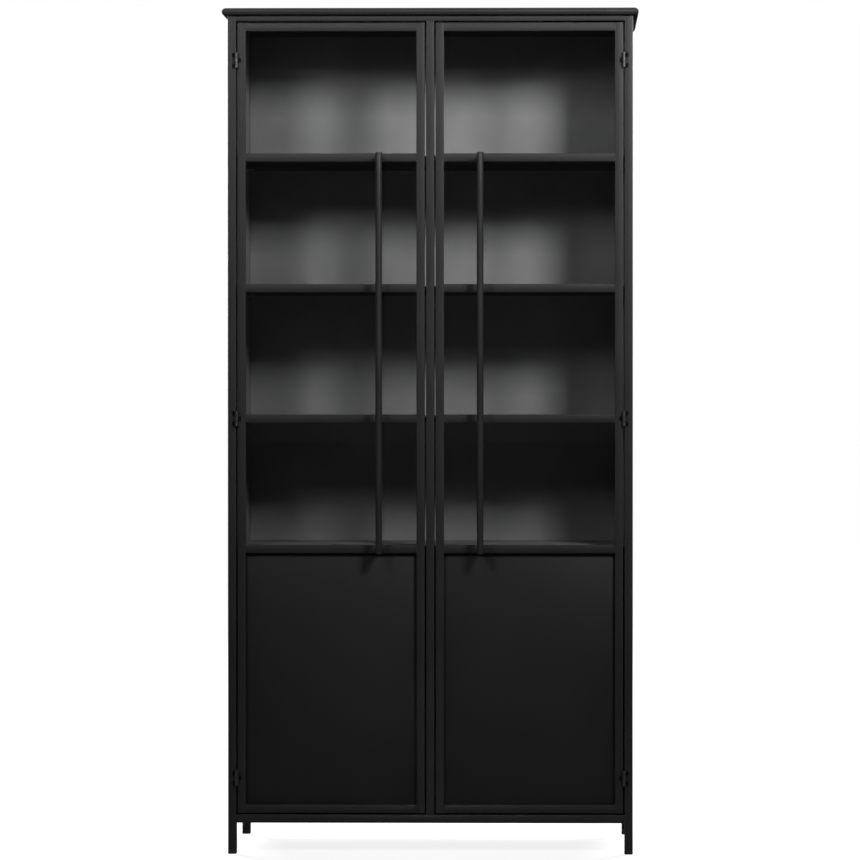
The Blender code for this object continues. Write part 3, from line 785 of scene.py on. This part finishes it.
def make_catch(side):
    """A magnetic catch: ribbed plastic housing with two steel pole plates and two screws."""
    node = f"{side}_magnetic_catch"
    low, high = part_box(node)
    centre_x = (low.x + high.x) / 2
    ear, ear_y, ear_sheet = 0.008, low.y + 0.004, 0.003
    rib_half, rib_pitch, rib_height = 0.0005, 0.003, 0.0012
    pole_inset, pole_half = 0.010, 0.0008
    body, poles, screws = bmesh.new(), bmesh.new(), bmesh.new()
    add_block(body, (low.x + ear, low.y + 0.0008, low.z), (high.x - ear, high.y, high.z), 0.0012, 3)
    add_block(body, (low.x, ear_y, high.z - ear_sheet), (high.x, high.y, high.z), 0.001, 2)
    for i in range(5):
        x = centre_x - 0.006 + rib_pitch * i
        add_block(body, (x - rib_half, low.y + 0.006, low.z),
                  (x + rib_half, high.y - 0.001, low.z + rib_height), 0.0002, 1)
    for height in (0.0035, 0.0095):
        add_block(poles, (low.x + pole_inset, low.y, low.z + height - pole_half),
                  (high.x - pole_inset, ear_y, low.z + height + pole_half), 0.0003, 1)
    for x in (low.x + ear / 2, high.x - ear / 2):
        add_screw(screws, (x, (ear_y + high.y) / 2, high.z - ear_sheet), (0, 0, -1), 0.0028, 0.0014)
    make_piece(f"{side}_catch_housing", body, "carcass", CATCH_PLASTIC, [node])
    make_piece(f"{side}_catch_poles", poles, "carcass", STEEL)
    make_piece(f"{side}_catch_screws", screws, "carcass", STEEL)


def make_strike_plate(side):
    """The steel plate on the back of the door that the catch holds."""
    low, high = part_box(f"{side}_magnetic_catch")
    rail_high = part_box(f"{side}_door_top_rail")[1].z
    centre_x = (low.x + high.x) / 2
    half, sheet, bottom_drop, top_drop = 0.016, 0.0006, 0.0105, 0.0015
    strike = bmesh.new()
    add_block(strike, (centre_x - half, DOOR_BACK_Y, rail_high - bottom_drop),
              (centre_x + half, DOOR_BACK_Y + sheet, rail_high - top_drop), 0.0002, 1)
    make_piece(f"{side}_door_strike_plate", strike, f"{side}_door", STEEL)


# ---------------------------------------------------------------- studio
def add_softbox(name, place, aim, size, power, beam=math.radians(180)):
    """An area lamp that points at a spot."""
    lamp = bpy.data.lights.new(name, "AREA")
    lamp.shape = "RECTANGLE"
    lamp.size, lamp.size_y = size
    lamp.energy = power
    lamp.spread = beam
    holder = bpy.data.objects.new(name, lamp)
    holder.location = place
    holder.rotation_mode = "QUATERNION"
    holder.rotation_quaternion = (Vector(aim) - Vector(place)).to_track_quat("-Z", "Y")
    bpy.context.scene.collection.objects.link(holder)


def make_lights():
    """Two softboxes high in front, a weak fill low in front, a box overhead and two behind."""
    for name, settings in SOFTBOXES.items():
        add_softbox(name, **settings)
    for side in (-1, 1):
        add_softbox(f"rear_box_{side + 1}", (side * 3.2, 3.6, 2.6), (0.0, 0.2, 1.0), (1.6, 2.2), 300.0)


def make_world():
    """A pale surround for the eye, dim for the lighting."""
    seen_strength, light_strength = 1.0, 0.038
    world = bpy.data.worlds.new("studio")
    bpy.context.scene.world = world
    world.use_nodes = True
    tree = world.node_tree
    tree.nodes.clear()
    seen = add_node(tree, "LightPath").outputs["Is Camera Ray"]
    pale = add_node(tree, "Background", {"Color": grey(1.0), "Strength": seen_strength})
    dim = add_node(tree, "Background", {"Color": grey(1.0), "Strength": light_strength})
    mixed = add_node(tree, "MixShader", {0: seen, 1: dim.outputs[0], 2: pale.outputs[0]})
    output = add_node(tree, "OutputWorld")
    tree.links.new(mixed.outputs[0], output.inputs["Surface"])


def make_floor():
    """A plain pale floor with a soft contact shadow."""
    material, tree, output = new_material("studio_floor")
    seen = add_node(tree, "LightPath").outputs["Is Camera Ray"]
    paper = add_node(tree, "BsdfDiffuse", {"Color": grey(0.35)})
    place = add_node(tree, "TexCoord").outputs["Object"]
    distance = add_node(tree, "VectorMath", {0: place}, operation="LENGTH").outputs["Value"]
    near, far, near_glow, far_glow = 1.2, 6.0, 0.84, 0.985
    strength = spread(tree, distance, near_glow, far_glow, near, far)
    glow = add_node(tree, "Emission", {"Color": grey(1.0), "Strength": strength})
    bright = add_node(tree, "AddShader", {0: paper.outputs[0], 1: glow.outputs[0]})
    mixed = add_node(tree, "MixShader", {0: seen, 1: paper.outputs[0], 2: bright.outputs[0]})
    tree.links.new(mixed.outputs[0], output.inputs["Surface"])
    mesh = bmesh.new()
    bmesh.ops.create_grid(mesh, x_segments=1, y_segments=1, size=60.0)
    data = bpy.data.meshes.new("floor")
    mesh.to_mesh(data)
    mesh.free()
    data.materials.append(material)
    floor = bpy.data.objects.new("floor", data)
    bpy.context.scene.collection.objects.link(floor)


def make_camera():
    """The photograph's viewpoint: level with the middle of the case, a little to its right."""
    data = bpy.data.cameras.new("camera")
    data.lens = CAMERA_LENS
    data.sensor_width = 36.0
    data.shift_x = CAMERA_SHIFT_X
    data.shift_y = CAMERA_SHIFT_Y
    data.dof.use_dof = False
    data.clip_end = 200.0
    camera = bpy.data.objects.new("camera", data)
    camera.location = (CAMERA_X, FRONT_Y - CAMERA_DISTANCE, CAMERA_Z)
    camera.rotation_euler = (math.pi / 2 + CAMERA_PITCH, 0.0, CAMERA_YAW)
    bpy.context.scene.collection.objects.link(camera)
    bpy.context.scene.camera = camera


# ---------------------------------------------------------------- assembly
coat_carcass()
coat_doors()
make_cap()
for side in SIDES:
    make_handle(side)
    for level in HINGE_LEVELS:
        make_hinge(side, level)
    make_door_welds(side)
    make_door_seams(side)
    make_glass_clips(side)
    make_catch(side)
    make_strike_plate(side)
for corner in ("front_left", "front_right", "rear_left", "rear_right"):
    make_foot(corner)
make_carcass_seams()
make_shelf_brackets()
make_rivets()
make_spot_welds()

make_world()
make_floor()
make_lights()
make_camera()
bpy.context.scene.view_settings.view_transform = "Standard"
